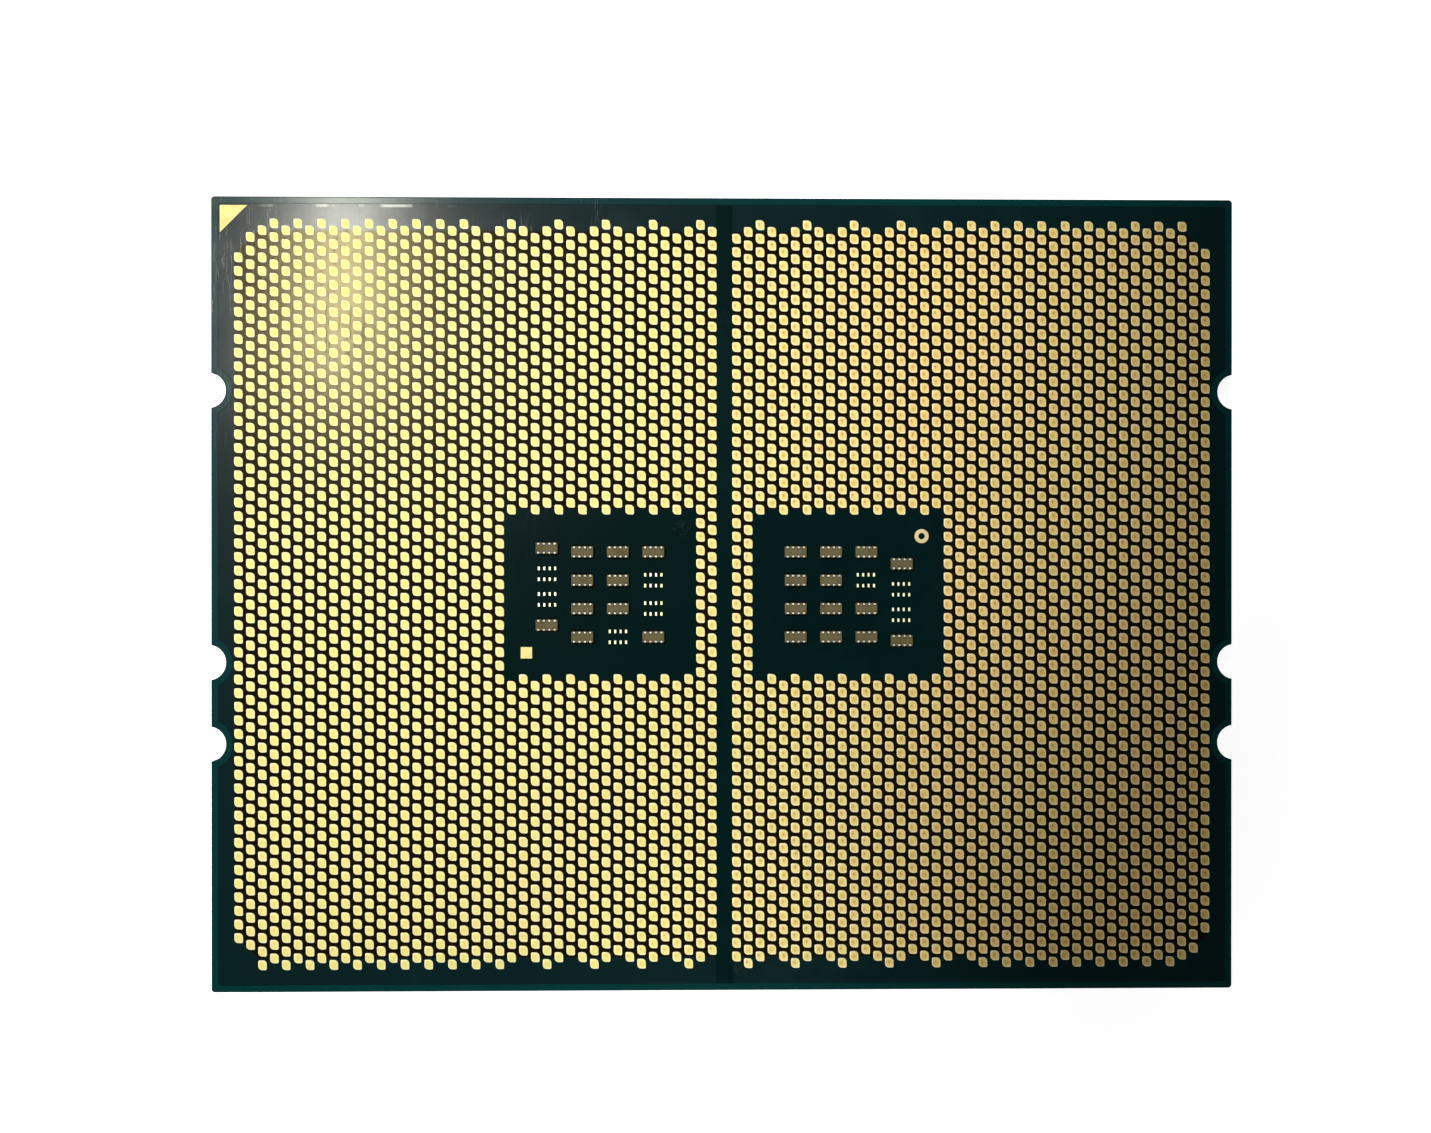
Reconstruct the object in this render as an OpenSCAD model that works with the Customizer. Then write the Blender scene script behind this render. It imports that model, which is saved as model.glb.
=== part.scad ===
// Large land-grid processor package, modelled land side up, in millimetres.
// The origin is the centre of the heat spreader's outer face, on which the package rests.
// +X runs along the long side and +Z points towards the lands.

/* [Board] */
// Length of the board along X
board_length = 75.4; // [75:0.1:80]
// Width of the board along Y
board_width = 58.5; // [58:0.1:64]
// Thickness of the board, mask included
board_thickness = 1.6; // [1.2:0.05:2.4]
// Radius of the board's four corners
board_corner_radius = 0.25; // [0.1:0.05:0.6]
// Width of the strip round the edge that has no copper under its mask
edge_strip = 0.5; // [0.35:0.05:0.6]
// Height of the mask over copper above the edge strip
copper_step = 0.02; // [0.01:0.005:0.05]

/* [Edge notches] */
// Radius of each notch
notch_radius = 1.3; // [1:0.05:1.6]
// How far a notch reaches in from the edge
notch_depth = 1.07; // [0.6:0.01:1.15]
// Place of the upper notch along Y
upper_notch_y = 15; // [10:0.5:22]
// Place of the middle notch along Y
middle_notch_y = -5; // [-6:0.5:4]
// Place of the lower notch along Y
lower_notch_y = -11; // [-22:0.5:-10]

/* [Lands] */
// Distance between neighbouring columns of lands
land_pitch_x = 0.87; // [0.82:0.01:0.88]
// Distance between neighbouring lands of a column
land_pitch_y = 1; // [0.94:0.01:1.01]
// Columns in each bank
bank_column_count = 41; // [24:1:41]
// Lands in a full column
bank_row_count = 55; // [30:1:55]
// Distance between the nearest columns of the two banks
bank_gap = 1.79; // [1.3:0.01:2]
// Length of a land between its two pointed corners
land_length = 0.93; // [0.86:0.01:1]
// Width of a land between its two rounded corners
land_width = 0.74; // [0.6:0.01:0.8]
// Height of the lands and marks above the mask
land_height = 0.03; // [0.02:0.01:0.06]

/* [Capacitor windows] */
// Columns of lands between a window and the gap of the banks
window_first_column = 2; // [1:1:3]
// Columns of lands left out for a window
window_columns = 16; // [15:1:18]
// Half rows of lands left out for a window
window_half_rows = 24; // [22:2:30]
// Distance between the capacitor rows of the three inner columns
cap_row_pitch = 2.087; // [1.6:0.001:2.2]
// Distance between the capacitor rows of the outer column
outer_row_pitch = 1.885; // [1.6:0.001:2]
// Shift of the outer column along Y, up on the left and down on the right
outer_row_shift = 0.575; // [0:0.005:0.8]

/* [Land side capacitors] */
// Length of a capacitor's ceramic block
cap_length = 1.6; // [1.5:0.05:2]
// Width of a capacitor's ceramic block
cap_width = 0.8; // [0.6:0.05:0.9]
// Height of a capacitor's ceramic block
cap_height = 0.5; // [0.3:0.05:0.8]
// Terminals along each long side
terminal_count = 4; // [2:1:4]
// Distance between neighbouring terminals
terminal_pitch = 0.4; // [0.36:0.01:0.42]
// Width of a terminal
terminal_width = 0.18; // [0.15:0.01:0.28]
// How far a terminal wraps over the top and under the bottom
terminal_wrap = 0.2; // [0.1:0.01:0.25]
// Thickness of a terminal's plating
plating = 0.03; // [0.02:0.005:0.06]
// Width of a solder pad
pad_width = 0.19; // [0.15:0.01:0.32]
// Length of a solder pad
pad_length = 0.3; // [0.24:0.01:0.5]

/* [Marks] */
// Distance of the pin-one triangle from both edges
mark_inset = 0.65; // [0.6:0.05:0.8]
// Length of the two short sides of the triangle
mark_leg = 2.03; // [1.4:0.01:2.1]
// Distance of the two alignment marks from the centre along X
fiducial_x = 14.59; // [14.5:0.01:14.7]
// Distance of the two alignment marks from the centre along Y
fiducial_y = 4.3; // [4:0.01:4.6]
// Side of the square alignment mark
square_side = 0.85; // [0.5:0.01:0.95]
// Outer diameter of the ring alignment mark
ring_outer = 1.06; // [0.8:0.01:1.1]
// Inner diameter of the ring alignment mark
ring_inner = 0.46; // [0.3:0.01:0.6]

/* [Heat spreader] */
// Distance from the board's edge to the flange of the lid
lid_margin = 3.1; // [2.9:0.1:4]
// Height of the lid
lid_height = 4.3; // [3.6:0.1:5]
// Thickness of the flange
flange_thickness = 2.7; // [1.6:0.1:3.2]
// Distance from the flange's edge to the raised face
flange_width = 3.4; // [2:0.1:5]
// Chamfer round the raised face and round the flange
lid_chamfer = 0.4; // [0.1:0.05:0.8]
// Corner radius of the flange
flange_corner_radius = 2.4; // [1:0.1:4]
// Corner radius of the raised face
face_corner_radius = 3.2; // [1:0.1:5]
// Width of the lid's rim that is glued to the board
rim_width = 4.6; // [3.6:0.1:5.5]
// Depth of the cavity over the dies
cavity_depth = 1.05; // [0.95:0.05:1.4]
// Corner radius of the cavity
cavity_corner_radius = 2; // [1:0.1:4]
// Thickness of the adhesive bead
seal_thickness = 0.15; // [0.08:0.01:0.3]
// Width of the adhesive bead
seal_width = 3; // [2:0.1:3.4]
// Length of the vent gap in the adhesive bead
seal_vent = 4; // [2:0.5:8]

/* [Dies] */
// Length of a die along X
die_length = 22.06; // [18:0.02:23]
// Width of a die along Y
die_width = 9.66; // [8:0.02:11]
// Thickness of a die
die_thickness = 0.78; // [0.6:0.02:0.8]
// Gap between neighbouring dies along X
die_gap_x = 5; // [3.5:0.1:6]
// Gap between neighbouring dies along Y
die_gap_y = 8; // [3.5:0.1:9]
// Height of the solder bumps under a die
bump_height = 0.08; // [0.05:0.01:0.12]
// How far the underfill spreads past a die on the board
underfill_spread = 1.2; // [0.8:0.1:1.6]
// How far the underfill climbs up a die's sides
underfill_climb = 0.45; // [0.2:0.05:0.55]
// How far the solder layer stays in from a die's edge
solder_inset = 0.2; // [0.1:0.05:0.5]

/* [Die side capacitors] */
// Capacitors in the row beside each die
die_cap_count = 6; // [2:1:8]
// Distance between neighbouring capacitors in a row
die_cap_pitch = 2.6; // [1.6:0.1:3]
// Distance from the underfill to the row
die_cap_gap = 0.6; // [0.4:0.1:1]
// Length of a capacitor with its two ends
die_cap_length = 1; // [0.8:0.05:1.2]
// Width and height of a capacitor
die_cap_side = 0.5; // [0.3:0.05:0.6]
// Length of each plated end
die_cap_end = 0.25; // [0.15:0.01:0.3]

/* [Hidden] */
$fn = 48;
// How far a cut runs past the face that it opens
cut_past = 1;

// Heights of the main faces above the lid's outer face
board_bottom = lid_height + seal_thickness;
board_face = board_bottom + board_thickness;
cavity_roof = lid_height - cavity_depth;
die_face = board_bottom - bump_height;
die_back = die_face - die_thickness;
cap_seat = board_face + land_height;

// Edge notches: their places along Y and how far outside the edge their centres lie
notch_places = [upper_notch_y, middle_notch_y, lower_notch_y];
notch_offset = notch_radius - notch_depth;

// Land field: half rows count from the top, and columns count outwards from the gap
half_rows = 2 * bank_row_count;
window_top = (half_rows - window_half_rows) / 2;
window_bottom = window_top + window_half_rows - 1;
window_last_column = window_first_column + window_columns - 1;
// Columns near the gap whose first or last land is left out, every fourth one
trim_column_step = 4;
top_trim_first_column = 3;
top_trim_last_column = 19;
bottom_trim_last_column = 16;
// Half rows missing at the two outermost columns, at the top and at the bottom
outer_trim_half_rows = 4;
next_trim_half_rows = 2;

// Capacitor places: a grid of columns and rows in each window, with some left bare
cap_column_count = 4;
cap_row_count = 4;
first_cap_column = 5;
cap_column_step = 3;
function bare_places(side) =
    side == "left" ? [[0, 1], [0, 2], [1, 3], [3, 1], [3, 2]] : [[2, 1], [3, 1], [3, 2]];
function along_x(side) = side == "left" ? -1 : 1;

function listed(place, places) = len([for (p = places) if (p == place) p]) > 0;
function fitted(bare) =
    [for (c = [0:cap_column_count - 1], r = [0:cap_row_count - 1]) if (!listed([c, r], bare)) [c, r]];
caps_left = fitted(bare_places("left"));
caps_right = fitted(bare_places("right"));

function column_x(i) = bank_gap / 2 + i * land_pitch_x;
function half_row_y(h) = ((half_rows - 1) / 2 - h) * land_pitch_y / 2;

// First and last half row of the land column i
function first_half_row(i) =
    i == bank_column_count - 1 ? outer_trim_half_rows :
    i == bank_column_count - 2 ? next_trim_half_rows :
    i % trim_column_step == top_trim_first_column && i <= top_trim_last_column ? next_trim_half_rows : 0;
function last_half_row(i) = half_rows - 1 - (
    i == bank_column_count - 1 ? outer_trim_half_rows :
    i == bank_column_count - 2 ? next_trim_half_rows :
    i % trim_column_step == 0 && i <= bottom_trim_last_column ? next_trim_half_rows : 0);
function in_window(i, h) =
    i >= window_first_column && i <= window_last_column && h >= window_top && h <= window_bottom;
function has_land(i, h) =
    (i + h) % 2 == 1 && h >= first_half_row(i) && h <= last_half_row(i) && !in_window(i, h);

// Centre of the capacitor place [column, row] on the left or right side
function cap_place(side, p) = [
    along_x(side) * column_x(first_cap_column + cap_column_step * p[0]),
    ((cap_row_count - 1) / 2 - p[1]) * (p[0] < cap_column_count - 1 ? cap_row_pitch : outer_row_pitch)
        - (p[0] < cap_column_count - 1 ? 0 : along_x(side) * outer_row_shift)
];

// Lid sizes that follow from the board
flange_size = [board_length - 2 * lid_margin, board_width - 2 * lid_margin];
face_size = [flange_size[0] - 2 * flange_width, flange_size[1] - 2 * flange_width];
cavity_size = [flange_size[0] - 2 * rim_width, flange_size[1] - 2 * rim_width];
seal_inset = (rim_width - seal_width) / 2;

// Die centres, two by two
die_places = [for (y = [1, -1], x = [-1, 1])
    [x * (die_length + die_gap_x) / 2, y * (die_width + die_gap_y) / 2]];

board_color = [0.02, 0.13, 0.14];
gold_color = [0.86, 0.72, 0.36];
ceramic_color = [0.42, 0.37, 0.33];
tin_color = [0.78, 0.78, 0.76];
lid_color = [0.70, 0.70, 0.71];
seal_color = [0.10, 0.10, 0.10];
silicon_color = [0.30, 0.32, 0.36];
resin_color = [0.45, 0.33, 0.16];
solder_color = [0.62, 0.63, 0.65];

// Flat outlines

module rounded_rectangle(size, radius) {
    square([size[0] - 2 * radius, size[1]], center = true);
    square([size[0], size[1] - 2 * radius], center = true);
    for (x = [-1, 1], y = [-1, 1])
        translate([x * (size[0] / 2 - radius), y * (size[1] / 2 - radius)]) circle(radius);
}

// Board outline, drawn in by a given distance all round, notches included
module board_outline(inset) {
    difference() {
        rounded_rectangle([board_length - 2 * inset, board_width - 2 * inset], board_corner_radius);
        for (side = ["left", "right"], y = notch_places)
            translate([along_x(side) * (board_length / 2 + notch_offset), y]) circle(notch_radius + inset);
    }
}

// Pointed oval with its tips at the upper left and the lower right
module land_outline() {
    radius = (land_length ^ 2 + land_width ^ 2) / (4 * land_width);
    shift = radius - land_width / 2;
    rotate(45) intersection() {
        translate([shift, 0]) circle(radius);
        translate([-shift, 0]) circle(radius);
    }
}

module corner_triangle() {
    translate([-board_length / 2 + mark_inset, board_width / 2 - mark_inset])
        polygon([[0, 0], [mark_leg, 0], [0, -mark_leg]]);
}

// Board and what is plated on it

module substrate() {
    color(board_color) {
        translate([0, 0, board_bottom])
            linear_extrude(board_thickness - copper_step) board_outline(0);
        translate([0, 0, board_bottom])
            linear_extrude(board_thickness) board_outline(edge_strip);
    }
}

module land_bank() {
    color(gold_color)
        for (i = [0:bank_column_count - 1], h = [0:half_rows - 1])
            if (has_land(i, h))
                translate([-column_x(i), half_row_y(h), board_face])
                    linear_extrude(land_height) land_outline();
}

module lands_left_bank() {
    land_bank();
}

module lands_right_bank() {
    rotate([0, 0, 180]) land_bank();
}

module pin_one_mark() {
    color(gold_color)
        translate([0, 0, board_face]) linear_extrude(land_height) corner_triangle();
}

module pin_one_mark_lid_side() {
    color(gold_color)
        translate([0, 0, board_bottom - land_height]) linear_extrude(land_height) corner_triangle();
}

module square_fiducial() {
    color(gold_color)
        translate([-fiducial_x, -fiducial_y, board_face])
            linear_extrude(land_height) square(square_side, center = true);
}

module ring_fiducial() {
    color(gold_color)
        translate([fiducial_x, fiducial_y, board_face]) linear_extrude(land_height)
            difference() {
                circle(d = ring_outer);
                circle(d = ring_inner);
            }
}

// Capacitors on the land side

// Children repeated at the eight terminal places, turned to face away from the middle
module terminal_places() {
    for (turn = [0, 180], k = [0:terminal_count - 1])
        rotate([0, 0, turn])
            translate([(k - (terminal_count - 1) / 2) * terminal_pitch, cap_width / 2, 0]) children();
}

module footprints(side) {
    color(gold_color)
        for (c = [0:cap_column_count - 1], r = [0:cap_row_count - 1])
            translate(cap_place(side, [c, r])) translate([0, 0, board_face])
                terminal_places()
                    linear_extrude(land_height) square([pad_width, pad_length], center = true);
}

module capacitor(side, place) {
    color(ceramic_color)
        translate(cap_place(side, place)) translate([0, 0, cap_seat + plating])
            linear_extrude(cap_height) square([cap_length, cap_width], center = true);
}

// Plated strip that wraps round the long edge of the ceramic block
module terminal() {
    rotate([90, 0, 90]) linear_extrude(terminal_width, center = true)
        polygon([
            [-terminal_wrap, 0],
            [plating, 0],
            [plating, cap_height + 2 * plating],
            [-terminal_wrap, cap_height + 2 * plating],
            [-terminal_wrap, cap_height + plating],
            [0, cap_height + plating],
            [0, plating],
            [-terminal_wrap, plating]
        ]);
}

module terminals(side, places) {
    color(tin_color)
        for (place = places)
            translate(cap_place(side, place)) translate([0, 0, cap_seat]) terminal_places() terminal();
}

// Lid and what it covers

// Upright section of a plate with its two lower edges chamfered
module chamfered_section(width, height) {
    polygon([
        [-width / 2 + lid_chamfer, 0],
        [width / 2 - lid_chamfer, 0],
        [width / 2, lid_chamfer],
        [width / 2, height],
        [-width / 2, height],
        [-width / 2, lid_chamfer]
    ]);
}

// Plate with round corners and a chamfer round its lower face
module chamfered_plate(size, radius, height) {
    rotate([90, 0, 90])
        linear_extrude(size[0] - 2 * radius, center = true) chamfered_section(size[1], height);
    rotate([90, 0, 0])
        linear_extrude(size[1] - 2 * radius, center = true) chamfered_section(size[0], height);
    for (x = [-1, 1], y = [-1, 1])
        translate([x * (size[0] / 2 - radius), y * (size[1] / 2 - radius)]) {
            cylinder(h = lid_chamfer, r1 = radius - lid_chamfer, r2 = radius);
            translate([0, 0, lid_chamfer]) cylinder(h = height - lid_chamfer, r = radius);
        }
}

module heat_spreader() {
    color(lid_color) difference() {
        union() {
            chamfered_plate(face_size, face_corner_radius, lid_height);
            translate([0, 0, lid_height - flange_thickness])
                chamfered_plate(flange_size, flange_corner_radius, flange_thickness);
        }
        translate([0, 0, cavity_roof])
            linear_extrude(cavity_depth + cut_past) rounded_rectangle(cavity_size, cavity_corner_radius);
    }
}

module lid_seal() {
    outer = flange_size - 2 * [seal_inset, seal_inset];
    inner = outer - 2 * [seal_width, seal_width];
    color(seal_color) translate([0, 0, lid_height]) linear_extrude(seal_thickness) difference() {
        rounded_rectangle(outer, flange_corner_radius);
        rounded_rectangle(inner, cavity_corner_radius);
        translate([0, -board_width / 2]) square([seal_vent, board_width], center = true);
    }
}

module die(place) {
    color(silicon_color)
        translate(place) translate([0, 0, die_back])
            linear_extrude(die_thickness) square([die_length, die_width], center = true);
}

// Sloping section of the underfill across a die of the given width, standing on the board
module underfill_section(width) {
    foot = width / 2 + underfill_spread;
    top = die_face - underfill_climb;
    polygon([
        [-foot, board_bottom],
        [-width / 2, top],
        [width / 2, top],
        [foot, board_bottom]
    ]);
}

module underfill(place) {
    reach = die_length + 2 * underfill_spread + cut_past;
    color(resin_color) difference() {
        translate(place) intersection() {
            rotate([90, 0, 0]) linear_extrude(reach, center = true) underfill_section(die_length);
            rotate([90, 0, 90]) linear_extrude(reach, center = true) underfill_section(die_width);
        }
        die(place);
    }
}

module solder(place) {
    color(solder_color)
        translate(place) translate([0, 0, cavity_roof]) linear_extrude(die_back - cavity_roof)
            square([die_length - 2 * solder_inset, die_width - 2 * solder_inset], center = true);
}

// Children repeated along the outer long side of every die
module die_cap_places() {
    row_y = die_width / 2 + underfill_spread + die_cap_gap + die_cap_side / 2;
    for (place = die_places, k = [0:die_cap_count - 1])
        translate([
            place[0] + (k - (die_cap_count - 1) / 2) * die_cap_pitch,
            place[1] + sign(place[1]) * row_y,
            board_bottom - die_cap_side
        ]) children();
}

module die_side_capacitors() {
    block = die_cap_length - 2 * die_cap_end;
    color(ceramic_color) die_cap_places()
        linear_extrude(die_cap_side) square([block, die_cap_side], center = true);
}

module die_side_terminals() {
    color(tin_color) die_cap_places()
        for (end = ["left", "right"])
            translate([along_x(end) * (die_cap_length - die_cap_end) / 2, 0])
                linear_extrude(die_cap_side) square([die_cap_end, die_cap_side], center = true);
}

substrate();
lands_left_bank();
lands_right_bank();
pin_one_mark();
pin_one_mark_lid_side();
square_fiducial();
ring_fiducial();
footprints("left");  // footprints_left
footprints("right");  // footprints_right
for (n = [1:len(caps_left)])
    capacitor("left", caps_left[n - 1]);
for (n = [1:len(caps_right)])
    capacitor("right", caps_right[n - 1]);
terminals("left", caps_left);  // terminals_left
terminals("right", caps_right);  // terminals_right
heat_spreader();
lid_seal();
for (n = [1:len(die_places)]) {
    die(die_places[n - 1]);
    underfill(die_places[n - 1]);
    solder(die_places[n - 1]);
}
die_side_capacitors();
die_side_terminals();
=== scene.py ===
import logging
import math
import random
from collections.abc import Iterable, Iterator
from dataclasses import dataclass
from enum import Enum
from functools import cache, reduce

import bmesh
import bpy
from bmesh.types import BMEdge, BMesh, BMFace, BMVert
from bpy.types import ID, Material, Mesh, Node, NodeSocket, NodeTree, Object
from mathutils import Matrix, Vector


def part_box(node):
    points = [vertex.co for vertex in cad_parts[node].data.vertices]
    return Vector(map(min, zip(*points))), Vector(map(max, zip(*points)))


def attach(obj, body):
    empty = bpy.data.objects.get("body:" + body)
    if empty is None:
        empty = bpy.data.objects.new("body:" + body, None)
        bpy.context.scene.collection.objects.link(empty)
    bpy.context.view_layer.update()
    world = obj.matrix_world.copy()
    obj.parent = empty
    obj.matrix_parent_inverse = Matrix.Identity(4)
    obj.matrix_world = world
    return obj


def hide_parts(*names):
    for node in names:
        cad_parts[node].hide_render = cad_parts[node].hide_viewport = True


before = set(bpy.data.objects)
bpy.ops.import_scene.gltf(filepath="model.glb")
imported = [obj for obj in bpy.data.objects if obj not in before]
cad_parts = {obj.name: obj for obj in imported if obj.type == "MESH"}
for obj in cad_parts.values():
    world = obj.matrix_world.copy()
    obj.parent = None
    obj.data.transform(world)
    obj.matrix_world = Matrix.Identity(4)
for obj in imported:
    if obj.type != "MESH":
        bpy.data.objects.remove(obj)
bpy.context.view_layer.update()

LOG = logging.getLogger("processor_package")
MM = 0.001
MICRON = 0.000001
BODY = "root"
SIGNS = (-1.0, 1.0)
WHITE = (1.0, 1.0, 1.0)

# Least angle of an edge that is rounded, and least upward part of a level face's normal
SHARP = math.radians(35.0)
LEVEL = 0.9

# Colour sockets of a Mix node, whose names its number sockets have too
MIX_SHARE = 0
MIX_FIRST = 6
MIX_SECOND = 7
MIX_RESULT = 2

# Numbers of the shared surface effects
COARSE_SCALE = 0.12
SMUDGE_EDGE = (0.0, 0.22)
HAIR_STRETCH = (1.0, 0.05, 1.0)
HAIR_EDGE = (0.0, 0.08)
HAIR_PATCHES_PER_MM = 0.18
HAIR_PATCHES = (0.42, 0.66)
SCUFF_EDGE = (1.0, 0.1)
SCUFF_STREAKS_PER_MM = 2.4
SCUFF_STREAKS = (0.46, 0.64)

Colour = tuple[float, float, float]
Place = tuple[float, float, float]
Span = tuple[float, float]
Bevel = tuple[float, int]
Inputs = dict[str | int, object]
Value = float | NodeSocket
Shade = Colour | NodeSocket
Sockets = tuple[NodeSocket, ...]


class Side(Enum):
    """The two banks of lands, by the sign of their place along X."""

    LEFT = -1
    RIGHT = 1

    @property
    def word(self) -> str:
        """The side's name as the nodes spell it."""
        return self.name.lower()


class Region(Enum):
    """Parts of the board's land side: margin and windows differ in what lies under the mask, and the mask
    between the lands carries painted reflection of the gold.
    """

    MARGIN = 0
    WINDOW = 1
    BETWEEN_LANDS = 2


class Slot(Enum):
    """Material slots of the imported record."""

    BOARD = "board"
    GOLD = "gold"
    CERAMIC = "capacitor_ceramic"
    TIN = "tin_plating"
    NICKEL = "nickel_plating"
    SILICONE = "silicone"


class Effect(Enum):
    """Shader groups that several finishes share, by the groups' names."""

    GRAIN = "surface_grain"
    SMUDGES = "smudges"
    HAIRLINES = "hairlines"
    SCUFF = "scuff"


class Graph:
    """A node tree with short calls that add nodes and join them."""

    def __init__(self, tree: NodeTree) -> None:
        """Start on an existing shader tree."""
        self.tree = tree

    def feed(self, node: Node, inputs: Inputs) -> Node:
        """Set or join some inputs of a node.

        Args:
            node: The node.
            inputs: Its inputs by name or index, each with a value or an output socket to join.

        Returns:
            The same node.
        """
        for key, value in inputs.items():
            socket = node.inputs[key]
            if isinstance(value, NodeSocket):
                self.tree.links.new(value, socket)
            else:
                socket.default_value = (*value, 1.0) if socket.type == "RGBA" else value
        return node

    def add(self, kind: str, inputs: Inputs | None = None, **settings: object) -> Node:
        """Add one node.

        Args:
            kind: The node's type name.
            inputs: Its inputs, given as for feed.
            settings: Properties of the node itself.

        Returns:
            The new node.
        """
        node = self.tree.nodes.new(kind)
        for name, value in settings.items():
            setattr(node, name, value)
        return self.feed(node, inputs or {})

    def math(self, operation: str, *values: Value) -> NodeSocket:
        """Join values by a Math node's operation."""
        return self.add("ShaderNodeMath", dict(enumerate(values)), operation=operation).outputs[0]

    def product(self, *values: Value) -> NodeSocket:
        """Multiply two values or more."""
        return reduce(lambda first, second: self.math("MULTIPLY", first, second), values)

    def span(self, share: NodeSocket, low: float, high: float) -> NodeSocket:
        """Lay a share from 0 to 1 onto the range from low to high."""
        return self.math("MULTIPLY_ADD", share, high - low, low)

    def ramp(self, value: NodeSocket, low: float, high: float) -> NodeSocket:
        """Map a value smoothly from the range low to high onto 0 to 1."""
        inputs = {"Value": value, "From Min": low, "From Max": high}
        return self.add("ShaderNodeMapRange", inputs, interpolation_type="SMOOTHSTEP").outputs["Result"]

    def blend(self, share: Value, first: Shade, second: Shade) -> NodeSocket:
        """Mix two colours, the second by its share."""
        inputs = {MIX_SHARE: share, MIX_FIRST: first, MIX_SECOND: second}
        return self.add("ShaderNodeMix", inputs, data_type="RGBA").outputs[MIX_RESULT]

    def place(self) -> NodeSocket:
        """Object coordinates in metres."""
        return self.add("ShaderNodeTexCoord").outputs["Object"]

    def millimetres(self, stretch: Place = (1.0, 1.0, 1.0)) -> NodeSocket:
        """Object coordinates in millimetres, stretched along X, Y and Z on request."""
        scale = tuple(part / MM for part in stretch)
        return self.add("ShaderNodeMapping", {"Vector": self.place(), "Scale": scale}).outputs["Vector"]

    def split(self, vector: NodeSocket) -> Sockets:
        """The X, Y and Z of a vector."""
        return tuple(self.add("ShaderNodeSeparateXYZ", {"Vector": vector}).outputs)

    def noise(self, vector: NodeSocket, scale: Value, **more: float) -> NodeSocket:
        """A noise texture's value, with more of its inputs by name."""
        inputs = {"Vector": vector, "Scale": scale, **more}
        return self.add("ShaderNodeTexNoise", inputs).outputs["Fac"]

    def attribute(self, name: str) -> NodeSocket:
        """A number that the mesh stores under a name."""
        return self.add("ShaderNodeAttribute", attribute_name=name).outputs["Fac"]

    def level(self) -> NodeSocket:
        """How level the surface lies, from 0 on a wall to 1 on a flat face."""
        normal = self.add("ShaderNodeNewGeometry").outputs["Normal"]
        return self.math("ABSOLUTE", self.split(normal)[2])

    def group(self, effect: Effect, **values: float) -> NodeSocket:
        """A shared effect, for inputs whose names have underscores for spaces."""
        inputs = {name.replace("_", " "): value for name, value in values.items()}
        return self.add("ShaderNodeGroup", inputs, node_tree=bpy.data.node_groups[effect.value]).outputs[0]

    def bump(self, shader: Node, height: NodeSocket, depth: float) -> None:
        """Give a shader a bump from a height of 0 to 1, with its depth in metres."""
        inputs = {"Height": height, "Strength": 1.0, "Distance": depth}
        self.feed(shader, {"Normal": self.add("ShaderNodeBump", inputs).outputs["Normal"]})


def new_group(effect: Effect, inputs: Iterable[str], output: str) -> tuple[Graph, Node, Node]:
    """Start the node group of a shared effect, with number sockets.

    Args:
        effect: The effect.
        inputs: Names of its inputs.
        output: Name of its output.

    Returns:
        The group's graph, its input node and its output node.
    """
    tree = bpy.data.node_groups.new(effect.value, "ShaderNodeTree")
    for name in inputs:
        tree.interface.new_socket(name, in_out="INPUT", socket_type="NodeSocketFloat")
    tree.interface.new_socket(output, in_out="OUTPUT", socket_type="NodeSocketFloat")
    return Graph(tree), tree.nodes.new("NodeGroupInput"), tree.nodes.new("NodeGroupOutput")


def build_grain() -> None:
    """Build the effect of fine and coarse grain, as one height."""
    graph, given, out = new_group(Effect.GRAIN, ("Per mm", "Coarse share"), "Height")
    place = graph.millimetres()
    per_mm, share = given.outputs["Per mm"], given.outputs["Coarse share"]
    fine = graph.noise(place, per_mm, Detail=4.0, Roughness=0.6)
    coarse = graph.noise(place, graph.product(per_mm, COARSE_SCALE), Detail=2.0)
    kept = graph.product(fine, graph.math("SUBTRACT", 1.0, share))
    graph.feed(out, {"Height": graph.math("MULTIPLY_ADD", coarse, share, kept)})


def build_smudges() -> None:
    """Build the effect of soft handling smudges, as a mask from 0 to 1."""
    graph, given, out = new_group(Effect.SMUDGES, ("Per mm", "Threshold"), "Mask")
    per_mm = given.outputs["Per mm"]
    noise = graph.noise(graph.millimetres(), per_mm, Detail=6.0, Roughness=0.62, Distortion=0.6)
    over = graph.math("SUBTRACT", noise, given.outputs["Threshold"])
    graph.feed(out, {"Mask": graph.ramp(over, *SMUDGE_EDGE)})


def build_hairlines() -> None:
    """Build the effect of hairline scratches that run along Y, as a mask from 0 to 1."""
    graph, given, out = new_group(Effect.HAIRLINES, ("Per mm", "Threshold"), "Mask")
    place = graph.millimetres(HAIR_STRETCH)
    lines = graph.noise(place, given.outputs["Per mm"], Detail=3.0, Roughness=0.55)
    hair = graph.ramp(graph.math("SUBTRACT", lines, given.outputs["Threshold"]), *HAIR_EDGE)
    patches = graph.noise(graph.millimetres(), HAIR_PATCHES_PER_MM, Detail=3.0)
    graph.feed(out, {"Mask": graph.product(hair, graph.ramp(patches, *HAIR_PATCHES))})


def build_scuff() -> None:
    """Build the effect of one uneven scuff round a place in millimetres, as a mask from 0 to 1."""
    inputs = ("Centre X", "Centre Y", "Reach X", "Reach Y")
    graph, given, out = new_group(Effect.SCUFF, inputs, "Mask")
    place = graph.millimetres()
    squares = []
    for axis, part in zip("XY", graph.split(place)):
        apart = graph.math("SUBTRACT", part, given.outputs[f"Centre {axis}"])
        share = graph.math("DIVIDE", apart, given.outputs[f"Reach {axis}"])
        squares.append(graph.product(share, share))
    reach = graph.ramp(graph.math("ADD", *squares), *SCUFF_EDGE)
    streaks = graph.noise(place, SCUFF_STREAKS_PER_MM, Detail=4.0, Distortion=1.2)
    graph.feed(out, {"Mask": graph.product(reach, graph.ramp(streaks, *SCUFF_STREAKS))})


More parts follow.
